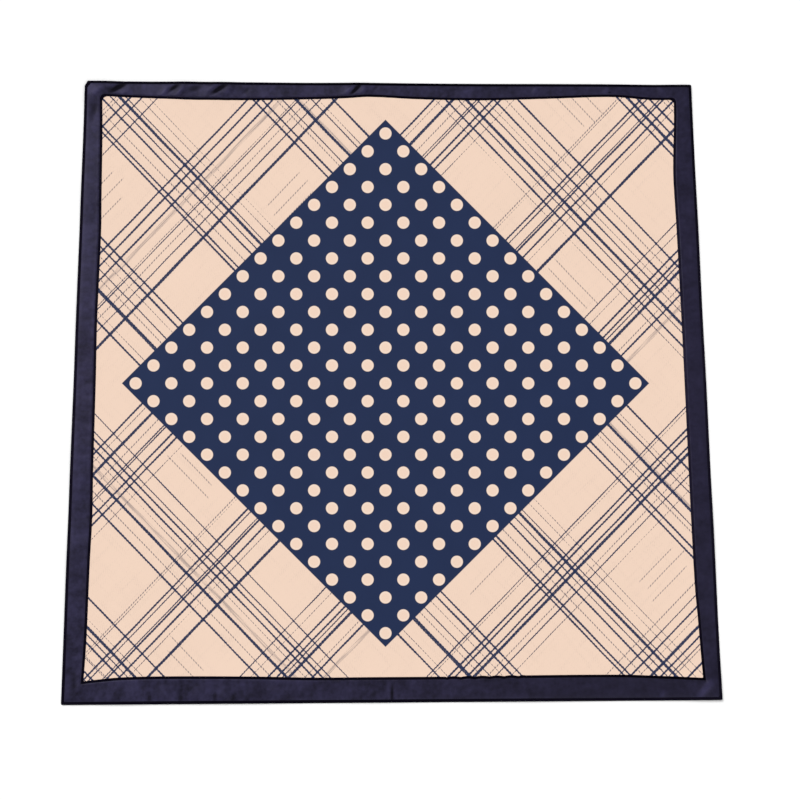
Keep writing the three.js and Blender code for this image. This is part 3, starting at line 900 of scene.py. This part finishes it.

# %% [markdown]
# ## Satin
# Satin floats its threads over many others, so it shines, and its shade shifts as the strip turns
# with the scarf. That shine and shade are painted into the satin's colour, as a share of painted
# light that changes round the scarf. The material follows the strip: one coordinate runs round the
# scarf and the other from hem to seam. Narrow creases get a painted highlight on their ridges and
# painted shade in their troughs. The hem and the turned seam, where several layers lie with their
# dense thread, are matt, and painted shadow darkens them, to near black on some sides.

# %% Make the satin
# The satin in painted shade and in painted sheen; its random mottling moves between the two as well.
SATIN_DARK = dyed(14, 12, 24)
SATIN_LIGHT = dyed(50, 47, 75)
SATIN_SHINE = (0.75, 0.7, 1, 1)
# Painted shade in the troughs of narrow creases.
TROUGH_PAINTED_SHADE = dyed(2, 1, 7)
# The hem and the turned seam in painted shadow, and where the light reaches them.
TURNED_PAINTED_SHADOW = dyed(2, 1, 8)
TURNED_LIGHT = dyed(36, 32, 50)
# Round the scarf from the join: metres along, the shares of painted light on the satin (its painted
# sheen and shade), on its hem and on its turned seam (their painted shadow), and how mottled the
# satin is.
STRIP_PAINTED_LIGHT_AND_MOTTLING = [
    (0.0, 0.35, 0.1, 0.1, 0.9),
    (0.3, 0.2, 0.2, 0.05, 0.4),
    (0.45, 0.25, 0.25, 0.0, 0.5),
    (0.9, 0.35, 0.35, 0.9, 0.35),
    (1.35, 0.35, 0.1, 0.1, 0.6),
    (1.8, 0.4, 0.0, 0.05, 1.1),
    (2.25, 0.5, 0.2, 0.15, 1.1),
    (2.7, 0.55, 0.35, 0.3, 1.1),
    (3.15, 0.4, 0.2, 0.1, 1.1),
    (3.4, 0.5, 0.1, 0.1, 1.0),
    (3.6, 0.35, 0.1, 0.1, 0.9),
]


def strip_shades(finish):
    """The three shares of painted light at a place on the strip, the mottling there, and the place."""
    along, across, _ = finish.parts(finish.node("ShaderNodeUVMap", {"uv_map": "strip"}, {}))
    length = STRIP_PAINTED_LIGHT_AND_MOTTLING[-1][0]
    stops = [(row[0] / length, row[1:]) for row in STRIP_PAINTED_LIGHT_AND_MOTTLING]
    ramp = finish.node("ShaderNodeValToRGB", {"stops": stops}, {"Fac": along / length})
    mottling = Amount(finish, ramp.socket.node.outputs["Alpha"])
    return *finish.parts(ramp), mottling, along, across


def satin():
    """The band's material."""
    finish = Finish("satin")
    shade, _, _, mottling, along, across = strip_shades(finish)
    place = finish.node("ShaderNodeTexCoord", {}, {}, output="Object")
    patches = finish.noise(finish.scaled(place, 30), detail=2)
    streaks = finish.noise(finish.place(along * 95, across * 1.1, 3), detail=2)
    small = finish.noise(finish.scaled(place, 170), detail=2)
    # The narrow creases' relief, for their painted highlight and painted shade.
    crease_painted_light_here = finish.node("ShaderNodeAttribute", {"attribute_name": "creased"}, {}, output=1)
    relief, _, _ = finish.parts(crease_painted_light_here)
    mottle = (patches - 0.5) * 1.1 + (streaks - 0.5) * 0.6 + (small - 0.5) * 0.75
    # Painted sheen and shade round the strip, random mottling, and a painted highlight on crease ridges.
    light = (shade + mottle * mottling + relief * 0.4).clamped()
    # Painted shade in the troughs of narrow creases.
    trough_painted_shade = (relief * -1.1 - 0.12).clamped()
    colour = finish.mix(trough_painted_shade, finish.mix(light, (*SATIN_DARK, 1), (*SATIN_LIGHT, 1)), (*TROUGH_PAINTED_SHADE, 1))
    threads = finish.node("ShaderNodeMapping", {}, {"Vector": place, "Scale": (1900, 1900, 400)})
    weave = finish.noise(threads, detail=1)
    height = weave * 0.2 + small * 0.8
    bump_node = finish.node("ShaderNodeBump", {}, {"Height": height, "Strength": 0.25, "Distance": 0.0006})
    roughness = 0.36 + small * 0.1 + trough_painted_shade * 0.4
    return finish.surface(colour, roughness, bump_node, Specular_IOR_Level=0.15, Specular_Tint=SATIN_SHINE)


def turned_edge():
    """The hem and the turned seam: several layers of satin, packed with thread and matt, with painted shadow.
    """
    finish = Finish("turned_satin")
    _, hem, seam_light, _, _, across = strip_shades(finish)
    place = finish.node("ShaderNodeTexCoord", {}, {}, output="Object")
    folds = finish.noise(finish.scaled(place, 420), detail=2)
    patches = finish.noise(finish.scaled(place, 40), detail=1)
    # A share of light for the hem and one for the seam: where it is low, painted shadow darkens the edge.
    share = hem + (seam_light - hem) * (across > 0.5)
    light = (share * (0.4 + patches * 1.2) + (folds - 0.5) * 0.1).clamped()
    colour = finish.mix(light, (*TURNED_PAINTED_SHADOW, 1), (*TURNED_LIGHT, 1))
    bump_node = finish.node("ShaderNodeBump", {}, {"Height": folds, "Strength": 0.35, "Distance": 0.0004})
    return finish.surface(colour, 0.6 + folds * 0.2, bump_node, Specular_IOR_Level=0.01)


band.data.materials.append(satin())
band.data.materials.append(turned_edge())
# The hem and the seam's turned lip wear the painted shadow.
turned_rows = [*range(HEM_STITCH_ROW), *range(SEAM_STITCH_ROW, ring_size)]
is_turned = np.isin(np.arange(len(strip_faces)) % ring_size, turned_rows)
band.data.polygons.foreach_set("material_index", is_turned.astype(np.int32))
print(f"{len(band.data.materials[0].node_tree.nodes)} nodes in the satin")

# %% [markdown]
# ## Stitches
# Two rows of navy thread hold the scarf together: one closes the hem, the other holds the turned
# edge of the satin down on the silk. A stitch is a small flat bead of thread that dips into the
# cloth at both ends. Over two thousand of them follow the band, which is what Geometry Nodes are
# for: one bead, set on points along a path. The beads are made real at the end, so that the row
# is a plain mesh.

# %% Make the thread
THREAD_NAVY = dyed(15, 13, 30)


def thread():
    """The stitches' material."""
    finish = Finish("navy_thread")
    place = finish.node("ShaderNodeTexCoord", {}, {}, output="Object")
    fibres = finish.noise(finish.scaled(place, 2500), detail=2)
    bump_node = finish.node("ShaderNodeBump", {}, {"Height": fibres, "Strength": 0.4, "Distance": 0.0001})
    colour = between(finish, fibres, THREAD_NAVY, 0.7, 1.5)
    return finish.surface(colour, 0.45 + fibres * 0.1, bump_node, Specular_IOR_Level=0.4)


navy_thread = thread()
print(f"{len(navy_thread.node_tree.nodes)} nodes in the thread")

# %% [markdown]
# ## The rows of stitches
# The path of a row is a ring of points that the band already has, at the bottom of the hem's
# furrow or of the seam's. The tree turns the path into a curve, sets a point on it at each pitch,
# and lays a bead there along the path, a little askew by chance, as stitches are.

# %% Sew the two rows
STITCH_PITCH = 2.7
STITCH_LENGTH = 2.3
THREAD_RADIUS = 0.19
STITCH_SKEW = 0.07


def stitch_tree(material):
    """A Geometry Nodes tree that sets stitches along a path, and its inputs by name."""
    tree = bpy.data.node_groups.new("stitches", "GeometryNodeTree")
    tree.interface.new_socket("Path", in_out="INPUT", socket_type="NodeSocketGeometry")
    inputs = {}
    for name in ("Pitch", "Stitch length", "Thread radius"):
        socket = tree.interface.new_socket(name, in_out="INPUT", socket_type="NodeSocketFloat")
        inputs[name] = socket.identifier
    inputs["Seed"] = tree.interface.new_socket("Seed", in_out="INPUT", socket_type="NodeSocketInt").identifier
    tree.interface.new_socket("Stitches", in_out="OUTPUT", socket_type="NodeSocketGeometry")

    def add(kind, settings=(), links=(), values=()):
        node = tree.nodes.new(kind)
        for name, value in dict(settings).items():
            setattr(node, name, value)
        for name, socket in dict(links).items():
            tree.links.new(socket, node.inputs[name])
        for name, value in dict(values).items():
            node.inputs[name].default_value = value
        return node

    given = add("NodeGroupInput").outputs
    curve = add("GeometryNodeMeshToCurve", links={"Mesh": given["Path"]}).outputs["Curve"]
    points = add(
        "GeometryNodeCurveToPoints", {"mode": "LENGTH"}, {"Curve": curve, "Length": given["Pitch"]}
    ).outputs
    turn = add(
        "FunctionNodeAlignRotationToVector", {"axis": "X"}, {"Vector": points["Tangent"]}
    ).outputs["Rotation"]
    skew = add(
        "FunctionNodeRandomValue", {"data_type": "FLOAT_VECTOR"}, {"Seed": given["Seed"]},
        {0: (0, 0, -STITCH_SKEW), 1: (0, 0, STITCH_SKEW)},
    ).outputs["Value"]
    turned = add(
        "FunctionNodeRotateRotation", {"rotation_space": "LOCAL"}, {"Rotation": turn, "Rotate By": skew}
    ).outputs["Rotation"]
    half_length = add(
        "ShaderNodeMath", {"operation": "MULTIPLY"}, {0: given["Stitch length"]}, {1: 0.5}
    ).outputs[0]
    size = add(
        "ShaderNodeCombineXYZ",
        links={"X": half_length, "Y": given["Thread radius"], "Z": given["Thread radius"]},
    ).outputs["Vector"]
    bead = add("GeometryNodeMeshUVSphere", values={"Segments": 6, "Rings": 5, "Radius": 1}).outputs["Mesh"]
    lying = add(
        "GeometryNodeTransform", values={"Rotation": (0, math.pi / 2, 0)}, links={"Geometry": bead}
    ).outputs["Geometry"]
    stitch = add("GeometryNodeTransform", links={"Geometry": lying, "Scale": size}).outputs["Geometry"]
    placed = add(
        "GeometryNodeInstanceOnPoints",
        links={"Points": points["Points"], "Instance": stitch, "Rotation": turned},
    ).outputs["Instances"]
    real = add("GeometryNodeRealizeInstances", links={"Geometry": placed}).outputs["Geometry"]
    sewn = add("GeometryNodeSetMaterial", links={"Geometry": real}, values={"Material": material})
    add("NodeGroupOutput", links={"Stitches": sewn.outputs["Geometry"]})
    return tree, inputs


def sew(name, path, tree, inputs, seed):
    """A row of stitches along a closed path of points in millimetres."""
    mesh = bpy.data.meshes.new(name + "_path")
    edges = [(place, (place + 1) % len(path)) for place in range(len(path))]
    mesh.from_pydata((path * MM).tolist(), edges, [])
    item = bpy.data.objects.new(name, mesh)
    bpy.context.scene.collection.objects.link(item)
    nodes = item.modifiers.new("stitches", "NODES")
    nodes.node_group = tree
    nodes[inputs["Pitch"]] = STITCH_PITCH * MM
    nodes[inputs["Stitch length"]] = STITCH_LENGTH * MM
    nodes[inputs["Thread radius"]] = THREAD_RADIUS * MM
    nodes[inputs["Seed"]] = seed
    evaluated = item.evaluated_get(bpy.context.evaluated_depsgraph_get())
    sewn = bpy.data.meshes.new_from_object(evaluated)
    item.modifiers.clear()
    item.data = sewn
    sewn.name = name
    sewn.polygons.foreach_set("use_smooth", np.ones(len(sewn.polygons), bool))
    print(f"{name}: {len(sewn.polygons)} faces")
    return item


tree, inputs = stitch_tree(navy_thread)
hem_stitches = sew("hem_stitches", rings[:, HEM_STITCH_ROW], tree, inputs, 5)
seam_stitches = sew("seam_stitches", rings[:, SEAM_STITCH_ROW], tree, inputs, 8)

# %% [markdown]
# ## Table, light and camera
# The scarf lies on a plain pale floor. Two broad soft suns light it, a stronger one from the far
# left and a weaker one from the near right, so that the ground stays even from corner to corner
# while the satin still shows its creases. The sky between them is dim, because dark satin mirrors
# whatever is overhead. The camera looks down from the near side.

# %% Set the floor, the lights and the camera
FLOOR_SIZE = 30
FLOOR_DROP = 0.2


def plain_floor():
    """A wide pale floor just under the scarf."""
    half, height = FLOOR_SIZE / 2, -FLOOR_DROP * MM
    mesh = bpy.data.meshes.new("floor")
    corners = [(-half, -half, height), (half, -half, height), (half, half, height), (-half, half, height)]
    mesh.from_pydata(corners, [], [(0, 1, 2, 3)])
    finish = Finish("pale_floor")
    place = finish.node("ShaderNodeTexCoord", {}, {}, output="Object")
    grain = finish.noise(place, detail=3)
    colour = finish.mix(grain, (0.955, 0.955, 0.955, 1), (0.97, 0.97, 0.97, 1))
    flat = finish.node("ShaderNodeBump", {}, {"Height": grain, "Strength": 0.01, "Distance": 0.001})
    mesh.materials.append(finish.surface(colour, 0.9, flat, Specular_IOR_Level=0.1))
    item = bpy.data.objects.new("floor", mesh)
    bpy.context.scene.collection.objects.link(item)


def soft_sun(name, azimuth, elevation, strength, spread):
    """A sun that shines from an azimuth (0 is the near side, 90 the right) and an elevation."""
    light = bpy.data.lights.new(name, "SUN")
    light.energy = strength
    light.angle = math.radians(spread)
    item = bpy.data.objects.new(name, light)
    a, e = math.radians(azimuth), math.radians(elevation)
    towards = Vector((math.sin(a) * math.cos(e), -math.cos(a) * math.cos(e), math.sin(e)))
    item.rotation_mode = "QUATERNION"
    item.rotation_quaternion = towards.to_track_quat("Z", "Y")
    bpy.context.scene.collection.objects.link(item)


plain_floor()
soft_sun("key_sun", -140, 52, 1.94, 35)
soft_sun("fill_sun", 40, 55, 1.06, 50)
world = bpy.data.worlds.new("dim_studio")
world.use_nodes = True
world.node_tree.nodes["Background"].inputs["Color"].default_value = (1, 1, 1, 1)
world.node_tree.nodes["Background"].inputs["Strength"].default_value = 0.31
scene = bpy.context.scene
scene.world = world
scene.view_settings.view_transform = "Standard"

camera = bpy.data.objects.new("camera", bpy.data.cameras.new("camera"))
camera.data.sensor_width = 36
camera.data.lens = FOCAL_PIXELS * camera.data.sensor_width / PICTURE_PIXELS
camera.data.clip_start, camera.data.clip_end = 0.05, 60
camera.matrix_world = Matrix.Translation(CAMERA_PLACE) @ camera_turn.to_4x4()
scene.collection.objects.link(camera)
scene.camera = camera
print(f"lens {camera.data.lens:.1f} mm at {CAMERA_PLACE.length:.2f} m")

# %% [markdown]
# ## Tie the pieces to the part
# Every piece rides on the scarf's one body, and a table lists which of the part's finishes it
# wears. The part's own plain solids are hidden.

material_slots = {
    panel: "printed_silk",
    band: "satin_band",
    hem_stitches: "satin_band",
    seam_stitches: "satin_band",
}
for piece, material_slot in material_slots.items():
    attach(piece, "root")
print(len(material_slots), "pieces ride on the scarf")
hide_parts("centre_panel")
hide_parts("border_band")
